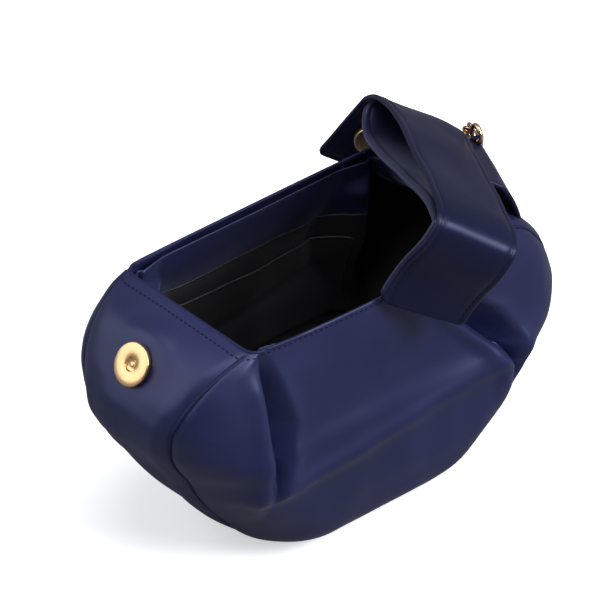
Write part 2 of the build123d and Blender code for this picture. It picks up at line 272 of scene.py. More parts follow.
satinLook = dict(
    tint=(0.55, 0.6, 1.0, 1), sheen=(0.4, 0.44, 0.7, 1), cloudScale=14.0, creaseScale=38.0,
    threads=(5400.0, 360.0, 1.0),               # threads a metre round and down the cloth
    # colour, roughness, sheen and specular level of each satin; the flap's colour is the body satin darkened
    # as painted shade, and the inner ply's and the facing's are paler, greyer copies as painted light
    body=((0.0094, 0.0116, 0.051), 0.43, 0.08, 0.74), flap=((0.004, 0.0052, 0.023), 0.42, 0.05, 0.42),
    ply=((0.009, 0.0105, 0.034), 0.42, 0.5, 0.66), facing=((0.011, 0.0125, 0.046), 0.42, 0.45, 0.66),
    edge=((0.0065, 0.008, 0.037), 0.55, 0.0, 0.42),
)


def satinMaterial(name, kind):
    colour, roughness, sheenWeight, level = satinLook[kind]
    m = newMaker(name, Sheen_Weight=sheenWeight, Sheen_Roughness=0.35, Sheen_Tint=satinLook["sheen"],
                 Specular_IOR_Level=level, Specular_Tint=satinLook["tint"], Anisotropic=0.3)
    place = m.coordinate("Object")
    clouds = m.noise(place, satinLook["cloudScale"])
    crease = m.noise(place, satinLook["creaseScale"], 3.0, 0.55)
    weave = m.noise(m.coordinate("UV", satinLook["threads"]), 1.0)
    paler = tuple(c * 1.3 + 0.0005 for c in colour) + (1,)
    darker = tuple(c * 0.8 for c in colour) + (1,)
    base = m.mix(m.ranged(clouds, 0.35, 0.65, 0, 1), darker, paler)
    m.feed("Base Color", m.mix(m.ranged(weave, 0.3, 0.7, 0.0, 0.25), base, paler))
    m.feed("Roughness", m.ranged(crease, 0.3, 0.7, roughness - 0.035, roughness + 0.045))
    m.feed("Normal", m.bump(weave * 0.2 + crease, 0.14, 0.0006))
    return m.owner


liningLook = dict(colour=(0.006, 0.0055, 0.0075, 1), pale=(0.012, 0.011, 0.015, 1), roughness=(0.42, 0.55))


def liningMaterial():
    m = newMaker("liningCloth", Specular_IOR_Level=0.45, Sheen_Weight=0.08, Sheen_Roughness=0.5)
    place = m.coordinate("Object")
    m.feed("Base Color", m.mix(m.ranged(m.noise(place, 22.0, 3.0), 0.35, 0.65, 0, 1),
                               liningLook["colour"], liningLook["pale"]))
    m.feed("Roughness", m.ranged(m.noise(place, 60.0), 0.3, 0.7, *liningLook["roughness"]))
    m.feed("Normal", m.bump(m.noise(place, 30.0, 3.0), 0.2, 0.0012))
    return m.owner


goldLook = dict(colour=(0.84, 0.57, 0.29, 1), pale=(0.87, 0.61, 0.32, 1), roughness=0.27, grain=1400.0)
roseLook = dict(colour=(0.83, 0.50, 0.30, 1), pale=(0.92, 0.64, 0.44, 1), roughness=0.16, grain=260.0)


def goldMaterial(name, look):
    m = newMaker(name, Metallic=1.0, Specular_IOR_Level=0.5)
    place = m.coordinate("Object")
    wear = m.noise(place, 120.0, 3.0)
    m.feed("Base Color", m.mix(m.ranged(wear, 0.3, 0.75, 0, 1), look["colour"], look["pale"]))
    m.feed("Roughness", m.ranged(wear, 0.3, 0.7, look["roughness"] - 0.03, look["roughness"] + 0.04))
    m.feed("Normal", m.bump(m.noise(place, look["grain"]), 0.012, 0.00002))
    return m.owner


threadLook = dict(colour=(0.003, 0.004, 0.014, 1), pale=(0.007, 0.009, 0.03, 1), twist=2500.0)


def threadMaterial():
    m = newMaker("stitchThread", Roughness=0.7, Specular_IOR_Level=0.15)
    twist = m.noise(m.coordinate("Object"), threadLook["twist"], 1.0)
    m.feed("Base Color", m.mix(twist, threadLook["colour"], threadLook["pale"]))
    m.feed("Normal", m.bump(twist, 0.3, 0.0002))
    return m.owner


satin = satinMaterial("navySatin", "body")
# the outer ply and the tongue wear the same navy satin with its colour darkened as painted shade
flapSatinShadedCopy = satinMaterial("flapSatinShadedCopy", "flap")
# the inner ply's satin is paler and greyer than the outer ply's, as painted light on its lit face
plySatinLitCopy = satinMaterial("plySatinLitCopy", "ply")
# the facing inside the mouth gets a paler, greyer copy of the satin as painted light
facingSatinLitCopy = satinMaterial("facingSatinLitCopy", "facing")
edgeSatin = satinMaterial("edgeSatin", "edge")
lining = liningMaterial()
gold = goldMaterial("paleGold", goldLook)
rose = goldMaterial("roseGold", roseLook)
thread = threadMaterial()
print("materials made")

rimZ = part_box("rim_binding")[1][2] / metre
mouthZ = rimZ - 0.4                             # where the satin starts, just under the rim
body = dict(
    # height, left and right half-length, back and front half-width, corner radius, seam half-width
    rows=[
        (114.0, 66.0, 66.0, 39.2, 40.5, 5.0, 38.0),
        (112.6, 70.0, 69.5, 39.6, 40.9, 6.5, 37.8),
        (110.5, 76.5, 75.5, 40.4, 41.4, 9.0, 37.0),
        (106.0, 85.0, 83.5, 42.0, 42.6, 14.0, 35.5),
        (98.0, 94.0, 91.5, 45.0, 44.8, 21.0, 33.0),
        (90.0, 99.6, 98.0, 47.6, 46.6, 27.0, 30.6),
        (82.0, 102.2, 102.2, 49.8, 48.2, 32.0, 28.2),
        (73.5, 101.6, 104.6, 51.6, 49.8, 35.0, 27.0),
        (64.0, 97.4, 102.0, 52.8, 52.3, 37.5, 26.0),
        (55.0, 90.8, 96.4, 52.8, 52.4, 38.0, 24.8),
        (45.0, 84.2, 89.0, 51.6, 51.2, 37.0, 23.0),
        (31.0, 73.2, 77.6, 49.0, 49.2, 34.0, 20.0),
        (21.5, 65.4, 69.4, 46.4, 46.8, 31.0, 18.0),
        (12.0, 58.6, 62.2, 43.8, 43.8, 29.0, 17.0),
        (5.0, 50.0, 54.0, 38.6, 38.4, 27.0, 16.4),
        (1.6, 43.6, 47.6, 33.4, 33.2, 24.0, 15.8),
        (0.35, 38.6, 42.2, 28.4, 28.8, 20.0, 15.0),
        (0.1, 30.0, 30.0, 20.0, 20.0, 13.0, 11.0),
        (0.05, 6.0, 6.0, 4.0, 4.0, 2.5, 2.0),
    ],
    backRound=1.32,                             # how much rounder the back left corner is
    columns=388, rings=122, wall=0.0012, lowest=0.05,
    # heights down the shell, closer together at the rim and the bottom
    steps=[(0.0, mouthZ), (0.06, 111.0), (0.2, 98.0), (0.5, 58.0), (0.8, 14.0), (0.9, 2.5), (0.95, 0.4),
           (1.0, 0.05)],
    gussetShare=0.13, pleatShare=0.3,           # shares of a half turn up to the seam and up to the pleat
    # the pleats' place along the bag; the front right one slants, against its drop below the rim
    pleatX=63.0, slantX=[(0, 24.0), (10, 27.0), (25, 36.0), (46, 56.0), (57, 63.0), (75, 64.0), (114, 60.0)],
    # drop below the rim against how wide each pleat's gentle slope is, and how deep it is
    plainPleat=[(0, 3.0), (16, 8.0), (35, 12.5), (50, 8.0), (69, 1.6), (114, 1.6)],
    slantPleat=[(0, 5.0), (12, 11.0), (30, 17.0), (48, 11.0), (60, 3.0), (114, 1.6)],
    pleatDepths=[(0, 0.0), (5, 2.6), (16, 8.5), (34, 11.5), (50, 9.5), (63, 3.6), (69, 0.0), (114, 0.0)],
    ridgeDrop=58.0, ridgeRise=0.1, ridgeHeight=2.2, frontBelly=4.2, backBelly=0.6,
    discCentre=(-93.5, 0.0, 100.0), discTilt=58.0, discPress=(9.4, 21.0),   # flat seat of the snap socket
)
bodySlopes = slopesOf(body["rows"])
discTilt = math.radians(body["discTilt"])
discCentre, discNormal = Vector(body["discCentre"]), Vector((-math.sin(discTilt), 0.0, math.cos(discTilt)))


# a point on a quarter of a rounded rectangle, went along it from the middle of its end
def quarterPoint(half, wide, corner, went):
    straight, arc = wide - corner, corner * math.pi / 2
    if went <= straight:
        return half, went
    if went <= straight + arc:
        turn = (went - straight) / corner
        return half - corner + corner * math.cos(turn), straight + corner * math.sin(turn)
    return half - corner - (went - straight - arc), wide


def lengthAcross(wide, corner, y):              # how far along the quarter the place at y is
    straight = wide - corner
    if y <= straight:
        return y
    return straight + corner * math.asin(min((y - straight) / corner, 1.0))


def lengthAlong(half, wide, corner, x):         # how far along the quarter the place at x is
    straight, level = wide - corner, half - corner
    if x > level:
        return straight + corner * math.acos(max(-1.0, min(1.0, (x - level) / corner)))
    return straight + corner * math.pi / 2 + level - x


# plan position at a height, with its share of a half turn, how far past the pleat it is and its side;
# u runs round from the left end's middle over the front
def planPoint(z, u):
    _, left, right, back, front, corner, seam = lookUp(body["rows"], bodySlopes, z)
    toFront = u < 0.5
    wide = front if toFront else back
    turned = u * 2 if toFront else (1 - u) * 2  # 0 left end, 1 right end
    atLeft = turned < 0.5
    share = turned if atLeft else 1 - turned
    half = left if atLeft else right
    if atLeft and not toFront:
        corner = corner * body["backRound"]
    slanted = toFront and not atLeft
    seamShare, pleatShare = body["gussetShare"], body["pleatShare"]
    seamWent = lengthAcross(wide, corner, seam)
    line = alongTable(body["slantX"], rimZ - z) if slanted else body["pleatX"]
    pleatWent = lengthAlong(half, wide, corner, min(line, half * 0.9))
    fullWent = lengthAlong(half, wide, corner, 0.0)
    if share < seamShare:
        went = seamWent * share / seamShare
    elif share < pleatShare:                    # columns gather towards the pleat from both sides
        t = (share - seamShare) / (pleatShare - seamShare)
        went = seamWent + (pleatWent - seamWent) * (1 - (1 - t) ** 1.45)
    else:
        t = (share - pleatShare) / (0.5 - pleatShare)
        went = pleatWent + (fullWent - pleatWent) * (0.45 * t + 0.55 * t * t)
    x, y = quarterPoint(half, wide, corner, went)
    return Vector((-x if atLeft else x, -y if toFront else y, z)), share, went - pleatWent, toFront, slanted


# how far the long wall is pushed out at a place, with its pleats, ridge and belly
def wallPush(x, past, drop, toFront, slanted, loose):
    depth = alongTable(body["pleatDepths"], drop) + 0.3 * loose
    reach = alongTable(body["slantPleat" if slanted else "plainPleat"], drop) + 2 * loose
    side = -past if slanted else past           # past the crease, on its gentle side
    if side > 0:
        groove = max(0.0, 1 - side / reach) ** 1.1
        push = 1.2 * bell((side - reach) / 4.5, 1.0) * smooth(8, 30, drop) * (1 - smooth(56, 76, drop))
    else:
        groove = math.exp(side / (1.3 + loose))
        push = 2.4 * bell(side + 5.5, 5.0) * smooth(2, 18, drop) * (1 - smooth(60, 90, drop))
    push -= depth * groove
    middle = 1 - (x / 60.0) ** 2
    if middle > 0:
        push += body["frontBelly" if toFront else "backBelly"] * middle * (1 - smooth(0, 52, drop))
        push -= 1.2 * middle * bell(drop - 32, 15)
    ridge = drop - (body["ridgeDrop"] - body["ridgeRise"] * x)
    return push + body["ridgeHeight"] * bell(ridge, 5.5) * (1 - smooth(66, 84, abs(x)))


# how far an end gusset is pushed out, fuller under the disc and below it
def gussetPush(across, drop, atLeft, lowFade):
    swell = 2.9 * bell(drop - 7.5, 6.0) if atLeft else 1.2 * bell(drop - 9, 7.0)
    swell += 2.4 * smooth(20, 44, drop) + 0.9 * bell(drop - 16, 7)
    fold = 0.8 * bell(across - 0.75, 0.12) * smooth(10, 40, drop) * (1 - smooth(70, 96, drop))
    return swell * (1 - across ** 2) * lowFade + fold


# the satin's outer surface at a height; a loose layer inside it has wider, softer pleats
def surfaceAt(u, z, loose=0.0):
    p, share, past, toFront, slanted = planPoint(z, u)
    ahead = planPoint(z, (u + 0.002) % 1.0)[0]
    lower = planPoint(max(z - 0.8, body["lowest"]), u)[0]
    normal = (ahead - p).cross(lower - p)
    if normal.length < 1e-9:
        return p
    normal.normalize()
    if normal.dot(Vector((p.x, p.y, 0))) < 0:
        normal = -normal
    drop, seamShare = rimZ - z, body["gussetShare"]
    lowFade = smooth(1.0, 14.0, z)
    push = -1.0 * bell(share - seamShare, 0.007) * smooth(0, 4, drop) * lowFade
    if share < seamShare:
        push += gussetPush(share / seamShare, drop, min(u, 1 - u) < 0.25, lowFade)
    else:
        push += wallPush(p.x, past, drop, toFront, slanted, loose) * lowFade
    soft = noise.noise(p * 0.024 + Vector((3.1, 0.4, 7.7)))
    fine = noise.noise(Vector((p.x * 0.06, p.y * 0.06, z * 0.02)) + Vector((9.0, 2.0, 1.0)))
    p = p + normal * (push + (1.0 * soft + 0.7 * fine) * smooth(1, 14, drop) * lowFade)
    if p.x < -60:                               # pressed flat where the disc sits
        fromDisc = p - discCentre
        height = fromDisc.dot(discNormal)
        reach = (fromDisc - discNormal * height).length
        p = p - discNormal * height * (1 - smooth(*body["discPress"], reach))
    p.z = max(p.z, body["lowest"])
    return p


def bodyPoint(u, v):                            # v runs from the rim to the middle of the bottom
    return surfaceAt(u, alongTable(body["steps"], v))


def makeShell():
    bm = gridPiece(body["columns"], body["rings"], bodyPoint, (560, 150), 0.02)
    piece = finishPiece("bagShell", bm, satin, "bag",
                        ("left_end_panel", "right_end_panel", "front_panel", "back_panel", "base_panel"))
    addModifier(piece, "SOLIDIFY", thickness=body["wall"], offset=-1.0)


makeShell()
print("shell made")

stitchLook = dict(pitch=2.5, width=0.62, height=0.5, lift=0.1, overlap=1.25)


# short raised stitches end to end along a path
def addStitches(bm, path, normals):
    look = stitchLook
    count = max(int(lineLength(path) / look["pitch"]), 2)
    spots = spacedPoints(path, count * 2 + 1)
    for a, b in zip(spots[0:-1:2], spots[1::2]):
        middle = (a + b) / 2
        nearest = min(range(len(path)), key=lambda i: (path[i] - middle).length_squared)
        normal, way = normals[nearest], (b - a).normalized()
        side = way.cross(normal).normalized()
        long = (b - a).length * look["overlap"]
        for vert in bmesh.ops.create_uvsphere(bm, u_segments=6, v_segments=4, radius=0.5)["verts"]:
            x, y, z = vert.co
            lifted = normal * (y * look["height"] + look["lift"])
            vert.co = middle + way * z * long + side * x * look["width"] + lifted


# a turned edge round the mouth and a row of topstitching
rimLook = dict(size=(0.8, 0.75), sides=12, steps=320, drop=0.6, inset=0.5, stitchAt=0.034)


def makeRim():
    path = []
    for i in range(rimLook["steps"]):
        p = bodyPoint(i / rimLook["steps"], 0.0)
        p.z = rimZ - rimLook["drop"]
        path.append(p - Vector((p.x, p.y, 0)).normalized() * rimLook["inset"])
    finishPiece("rimEdge", tubeAlong(path, rimLook, closed=True), edgeSatin, "bag", ("rim_binding",))
    line, normals = [], []
    for i in range(rimLook["steps"] + 1):
        u = (i / rimLook["steps"]) % 1.0
        here = bodyPoint(u, rimLook["stitchAt"])
        near = bodyPoint((u + 0.003) % 1.0, rimLook["stitchAt"])
        under = bodyPoint(u, 0.05)
        normal = (near - here).cross(under - here).normalized()
        line.append(here)
        normals.append(-normal if normal.dot(Vector((here.x, here.y, 30))) < 0 else normal)
    stitches = bmesh.new()
    addStitches(stitches, line, normals)
    finishPiece("rimStitches", stitches, thread, "bag", recalc=False)


# piping where the end gussets meet the long walls, carried under the base
seamLook = dict(size=(1.15, 0.75), sides=12, top=0.012, bottom=0.93, underZ=0.85)


def makeSeams():
    share = body["gussetShare"] / 2
    top, bottom = seamLook["top"], seamLook["bottom"]
    for name, uLeft, uRight, node in (("frontSeam", share, 0.5 - share, "front_seam_strip"),
                                      ("backSeam", 1 - share, 0.5 + share, "back_seam_strip")):
        bm = bmesh.new()
        for u in (uLeft, uRight):
            tubeAlong([bodyPoint(u, top + (bottom - top) * i / 100) for i in range(101)], seamLook, bm=bm)
        a, b = bodyPoint(uLeft, bottom), bodyPoint(uRight, bottom)
        a.z = b.z = seamLook["underZ"]
        tubeAlong([a.lerp(b, i / 30) for i in range(31)], seamLook, bm=bm)
        finishPiece(name, bm, edgeSatin, "bag", (node,))


makeRim()
makeSeams()
print("rim and seams made")

insideLook = dict(
    facingTop=2.6, facingDrop=27.0, facingInset=1.2, facingWall=0.0006,
    bowlInset=1.6, bowlWall=0.0006, loose=5.0, gap=2.2, hungGap=0.9, fold=1.6, pinch=5.0,
    pocketWide=104.0, pocketFrom=37.0, pocketDrop=37.5, pocketInset=2.6, pocketSag=1.1, pocketWall=0.0007,
)
pocketEdgeLook = dict(size=(0.55, 0.5), sides=8)


# a point on the inside, which hangs in soft folds near the rim and follows the satin further down
def insidePoint(u, drop, inset):
    z = max(rimZ - drop, 2.6)
    top = surfaceAt(u, mouthZ)
    under = surfaceAt(u, z, insideLook["loose"])
    inward = Vector((under.x / 66, under.y / 40, 0)).normalized()
    turn = u * 2 * math.pi
    wave = noise.noise(Vector((math.cos(turn) * 5.2, math.sin(turn) * 5.2, drop * 0.02)))
    fold = (wave + 0.35 * math.sin(turn * 9 + 1.3)) * insideLook["fold"]
    fold *= smooth(2, 22, drop) * (1 - smooth(24, 40, drop))
    pinch = insideLook["pinch"] * bell(abs(under.x) - 62, 9.0) * smooth(8, 16, drop)
    follow = under - inward * (insideLook["gap"] + inset + fold + pinch + 2.4 * smooth(2, 16, 16 - z))
    hung = Vector((top.x * (1 + 0.0034 * drop), top.y * (1 + 0.0012 * drop), z))
    hung -= inward * (insideLook["hungGap"] + inset + fold)
    spot = hung.lerp(follow, smooth(6, 34, drop))
    for k in (0, 1):                            # never outside the layer that follows the satin
        spot[k] = math.copysign(min(abs(spot[k]), abs(follow[k])), spot[k])
    spot.z = z
    return spot


def facingPoint(u, v):
    return insidePoint(u, insideLook["facingTop"] + insideLook["facingDrop"] * v, insideLook["facingInset"])


def bowlPoint(u, v):                            # the wall down to the bottom, then in to its middle
    drop, inset = insideLook["facingDrop"], insideLook["bowlInset"]
    if v < 0.8:
        return insidePoint(u, drop - 1.5 + (rimZ - 6 - drop) * v / 0.8, inset)
    low = insidePoint(u, rimZ - 7.5, inset)
    t = (v - 0.8) / 0.2
    return Vector((low.x * (1 - t) * 0.96, low.y * (1 - t) * 0.96, low.z - 1.5 * t))


def pocketPoint(u, v):                          # on the back wall, sagging a little at its top
    x = insideLook["pocketWide"] * (u - 0.5)
    z = insideLook["pocketFrom"] + (rimZ - insideLook["pocketDrop"] - insideLook["pocketFrom"]) * v
    inset = insideLook["pocketInset"] + insideLook["pocketSag"] * v * math.sin(math.pi * u)
    wall = insidePoint(0.75 - x / 66 * 0.11, rimZ - z, inset)
    return Vector((wall.x, wall.y, z))


def makeInside():
    facing = finishPiece("satinFacing", gridPiece(260, 26, facingPoint, (540, 27), 0.02),
                         facingSatinLitCopy, "bag", ("facing_band",))
    addModifier(facing, "SOLIDIFY", thickness=insideLook["facingWall"], offset=0.0)
    bowl = finishPiece("liningBowl", gridPiece(200, 70, bowlPoint, (540, 120), 0.02),
                       lining, "bag", ("lining_bowl",))
    addModifier(bowl, "SOLIDIFY", thickness=insideLook["bowlWall"], offset=0.0)
    pocket = finishPiece("slipPocket", gridPiece(70, 30, pocketPoint, (104, 40)),
                         lining, "bag", ("slip_pocket",))
    addModifier(pocket, "SOLIDIFY", thickness=insideLook["pocketWall"], offset=0.0)
    edge = [pocketPoint(i / 60, 1.0) for i in range(61)]
    finishPiece("pocketEdge", tubeAlong(edge, pocketEdgeLook), lining, "bag")


makeInside()
print("inside made")

snap = dict(radius=9.0, thick=2.4, lift=0.2, edge=0.45, recess=2.9, recessDepth=1.5, button=1.5, stud=1.2)


# a turned metal piece from its (radius, height) profile
def spinPiece(name, profile, origin, axis, bodyName, replaced, steps=72):
    bm = bmesh.new()
    verts = [bm.verts.new((r, 0, h)) for r, h in profile]
    edges = [bm.edges.new(pair) for pair in zip(verts, verts[1:])]
    bmesh.ops.spin(bm, geom=verts + edges, cent=(0, 0, 0), axis=upward, angle=2 * math.pi, steps=steps,
                   use_merge=True)
    bmesh.ops.remove_doubles(bm, verts=bm.verts, dist=0.001)
    bmesh.ops.rotate(bm, cent=(0, 0, 0), matrix=upward.rotation_difference(axis).to_matrix(), verts=bm.verts)
    bmesh.ops.translate(bm, vec=origin, verts=bm.verts)
    finishPiece(name, bm, gold, bodyName, replaced)


def discProfile(withStud):
    r, t, edge = snap["radius"], snap["thick"], snap["edge"]
    rim = [(r - edge, t), (r - 0.18, t - 0.12), (r - 0.04, t - 0.28), (r, t - edge), (r, 0.3),
           (r - 0.15, 0.1), (r - 0.4, 0.0), (0.0, 0.0)]
    well, floor, top = snap["recess"], t - snap["recessDepth"], t + snap["stud"]
    if withStud:
        return [(0.0, top), (well - 0.7, top), (well - 0.35, top - 0.2), (well - 0.25, t + 0.1),
                (well + 0.1, t)] + rim
    return [(0.0, floor), (well - 0.25, floor), (well, floor + 0.2), (well, t - 0.3), (well + 0.1, t - 0.1),
            (well + 0.3, t)] + rim


def makeSnapSocket():
    origin = discCentre + discNormal * snap["lift"]
    spinPiece("snapSocket", discProfile(False), origin, discNormal, "bag", ("panel_snap_socket",))
    floor, b = snap["thick"] - snap["recessDepth"], snap["button"]
    button = [(0.0, floor + 0.75), (b - 0.5, floor + 0.72), (b - 0.1, floor + 0.5), (b, floor)]
    spinPiece("snapButton", button, origin, discNormal, "bag", ("panel_snap_button",), 36)


makeSnapSocket()
print("snap made")

flap = dict(heading=54.7, roll=30.1, width=37.0, corner=(-7.4, -47.5, rimZ + 2.3),
            foldStart=(121.5, 17.5, 18.5), foldEnd=(126.5, 9.0, 18.5),       # where flap turns into tab
            snapFold=(126.2, 13.8), snapFoot=(137.0, -21.8), snapDown=14.5, snapIn=2.8, snapAcross=15.5)
heading, roll = math.radians(flap["heading"]), math.radians(flap["roll"])
longWay = Vector((math.cos(heading), math.sin(heading), 0))
levelWay = Vector((math.sin(heading), -math.cos(heading), 0))
wideWay = levelWay * math.cos(roll) - upward * math.sin(roll)
overWay = levelWay * math.sin(roll) + upward * math.cos(roll)

outerLook = dict(
    line=[(0, 0), (0.5, 16.9), (-4.8, 31.9), (-4.6, 41.6), (-1.5, 46.6), (6.9, 47.9), (17.2, 47.3),
          (53, 40.2), (89, 33.2), (104.4, 29.8), (118.6, 23.2), (126.0, 16.3), (127.2, 13.2), (137.0, -21.8)],
    slant=3.2, steps=230, thick=2.0, groove=2.6, crown=0.5, wave=1.0, seed=0.0, cornerRadius=(4.0, 4.0),
    stitchRows=(2.6, 34.4), sink=0.42, stitched=(6, 182))
innerLook = dict(
    line=[(2.3, 0), (2.8, 16.9), (-2.4, 32), (-2.2, 41), (-0.2, 44.4), (7.5, 43.4), (14.7, 42.4), (28, 38.2),
          (54.5, 28.9), (76.6, 20.5), (98.2, 13.6), (108, 11.9), (116.4, 13.4), (122.6, 17.9)],
    slant=3.2, steps=210, thick=2.6, groove=2.6, crown=0.35, wave=0.7, seed=3.0, cornerRadius=(4.0, 6.0),
    stitchRows=(2.6,), sink=0.5, stitched=(70, 200))


def flapPoint(along, over, across):
    return Vector(flap["corner"]) + longWay * along + overWay * over + wideWay * across


# closed section of a ply as (across, share of half the thickness), with rolled edges and a stitch groove
def plySection(halfWide, insetAt):
    side = [(-halfWide, 0.0), (-halfWide + 0.15, 0.55), (-halfWide + 0.55, 0.92), (-halfWide + 1.1, 1.0),
            (-halfWide + insetAt - 0.5, 0.98), (-halfWide + insetAt, 0.66), (-halfWide + insetAt + 0.5, 0.95)]
    inner = halfWide - insetAt - 0.5
    upper = side + [(inner * (i / 6 - 1), 1.0) for i in range(1, 12)] + [(-x, y) for x, y in reversed(side)]
    return upper + [(x, -y) for x, y in reversed(upper[1:-1])]


# a flat sewn ply along its line, with rounded, thinned ends and a little wave
def plyPiece(name, look, material, replaced, bodyName):
    last = look["steps"] - 1
    spine = roundedLine([(a, b, 0) for a, b in look["line"]], look["steps"], 2)
    total, halfWide, edge = lineLength(spine), flap["width"] / 2, look["thick"] / 2
    section = plySection(halfWide, look["groove"])

    def plyPoint(u, v):
        across, share = section[int(round(u * len(section))) % len(section)]
        slant = look["slant"] * (0.5 + across / (2 * halfWide)) * max(0.0, 1 - v * total / 24)
        spot = (v * total + slant) / total * last
        below = min(int(spot), last - 1)
        i = min(int(round(v * last)), last)
        way = (spine[min(i + 1, last)] - spine[max(i - 1, 0)]).normalized()
        at = total * i / last
        squeeze = thin = 1.0
        for fromEnd, radius in zip((at, total - at), look["cornerRadius"]):
            if fromEnd < radius:
                cut = radius - math.sqrt(max(radius ** 2 - (radius - fromEnd) ** 2, 0))
                squeeze = min(squeeze, 1 - cut / halfWide)
            if fromEnd < 0.8:
                thin = min(thin, 0.12 + 0.88 * math.sqrt(max(1 - (1 - fromEnd / 0.8) ** 2, 0)))
            elif abs(fromEnd - look["groove"]) < 0.45 and abs(across) < halfWide - 1.2:
                thin = 0.72
        w = halfWide + across * squeeze
        puff = look["crown"] * (1 - (across / halfWide) ** 2)
        wave = look["wave"] * noise.noise(Vector((at * 0.035, w * 0.05, 4.0 + look["seed"])))
        depth = edge * (share * thin - 1) + puff + wave
        p = spine[below].lerp(spine[below + 1], spot - below) + Vector((-way.y, way.x, 0)) * depth
        return flapPoint(p.x, p.y, w)

    bm = gridPiece(len(section), last, plyPoint, (80, total), 0.003)
    bmesh.ops.holes_fill(bm, edges=[e for e in bm.edges if e.is_boundary], sides=0)
    return finishPiece(name, bm, material, bodyName, replaced), spine


# topstitching along a ply's outer face
def plyStitches(name, spine, look):
    bm = bmesh.new()
    halfWide = flap["width"] / 2
    for across in look["stitchRows"]:
        line, normals = [], []
        for i in range(*look["stitched"]):
            way = (spine[min(i + 1, len(spine) - 1)] - spine[max(i - 1, 0)]).normalized()
            normal = Vector((-way.y, way.x, 0))
            puff = look["crown"] * (1 - ((across - halfWide) / halfWide) ** 2)
            p = spine[i] + normal * (puff - look["sink"])
            line.append(flapPoint(p.x, p.y, across))
            normals.append((longWay * normal.x + overWay * normal.y).normalized())
        addStitches(bm, line, normals)
    finishPiece(name, bm, thread, "flap", recalc=False)


def makeFlap():
    outerNodes = ("outer_ply_sleeve", "outer_ply_stiffener", "tab_sleeve", "tab_stiffener")
    innerNodes = ("inner_ply_sleeve", "inner_ply_stiffener")
    outer, outerSpine = plyPiece("outerPly", outerLook, flapSatinShadedCopy, outerNodes, None)
    flapPoint(*flap["foldStart"]) * metre
    flapPoint(*flap["foldEnd"]) * metre
    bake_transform(outer)
    _, innerSpine = plyPiece("innerPly", innerLook, plySatinLitCopy, innerNodes, "flap")
    plyStitches("outerStitches", outerSpine, outerLook)
    plyStitches("innerStitches", innerSpine, innerLook)
    # the snap's stud stands on the tab's inner face, down from the fold
    foldAt = Vector(flap["snapFold"])
    way = (Vector(flap["snapFoot"]) - foldAt).normalized()
    inward = Vector((way.y, -way.x))
    spot = foldAt + way * flap["snapDown"] + inward * flap["snapIn"]
    spinPiece("tabSnap", discProfile(True), flapPoint(spot.x, spot.y, flap["snapAcross"]),
              longWay * inward.x + overWay * inward.y, "tab", ("tab_snap_stud",))


makeFlap()
print("flap made")

# the tongue runs from under the outer ply over the flap's root edge down to the right end panel
tongueLook = dict(along=(60.0, 58.0), under=2.2, across=(30.0, 14.0), foot=(98.0, 87.0), wall=0.0018,
                  blendFrom=(84, 34, 35.5), blendTo=(84, 34, 39.5))


def tonguePoint(u, v):
    along = tongueLook["along"][0] + tongueLook["along"][1] * u
    over = alongTable(outerLook["line"][5:], along) - tongueLook["under"]
    inner, reach = tongueLook["across"]
    if v < 0.4:
        return flapPoint(along, over, inner + reach * v / 0.4)
    edge = flapPoint(along, over, inner + reach)
    t = (v - 0.4) / 0.6
    footX, footZ = tongueLook["foot"]
    low = Vector((footX - 5.5 * (1 - u) - 2 * abs(u - 0.5), edge.y * 0.75 - 1.0, footZ + 6 * abs(u - 0.5)))
    mid = edge + Vector((6.5, -4.0, -9.0))
    return edge * (1 - t) ** 2 + mid * 2 * t * (1 - t) + low * t * t


def makeTongue():
    piece = finishPiece("rootTongue", gridPiece(50, 60, tonguePoint, (58, 50)), flapSatinShadedCopy, None,
                        ("root_tongue",))
    addModifier(piece, "SOLIDIFY", thickness=tongueLook["wall"], offset=0.0)
    addModifier(piece, "BEVEL", width=0.0005, segments=2)
    flapPoint(*tongueLook["blendFrom"]) * metre
    flapPoint(*tongueLook["blendTo"]) * metre
    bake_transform(piece)


makeTongue()

ringLook = dict(major=3.7, minor=1.05, around=48, sides=16, twist=20.0)      # turned in its soft loop
loopLook = dict(size=(1.25, 0.55), sides=12, radius=2.25, steps=24)


def makeRing():
    ringCentre = boxCentre("chain_ring")
    twist = math.radians(ringLook["twist"])
    axis = levelWay * math.cos(twist) + longWay * math.sin(twist)
    side = axis.orthogonal().normalized() * ringLook["major"]
    path = ovalLine(ringCentre, side, axis.cross(side), ringLook["around"])
    bm = tubeAlong(path, dict(size=(ringLook["minor"],) * 2, sides=ringLook["sides"]), closed=True, up=axis)
    finishPiece("chainRing", bm, rose, "ring", ("chain_ring",))
    foot = ringCentre - upward * ringLook["major"]
    path = [foot - levelWay * 2.3 - upward * 1.3]
    for i in range(loopLook["steps"] + 1):
        turn = math.pi * i / loopLook["steps"]
        path.append(foot + (upward * math.sin(turn) - levelWay * math.cos(turn)) * loopLook["radius"])
    path.append(foot + levelWay * 2.3 - upward * 3.6)
    finishPiece("ringLoop", tubeAlong(path, loopLook), edgeSatin, "bag", ("ring_loop",))


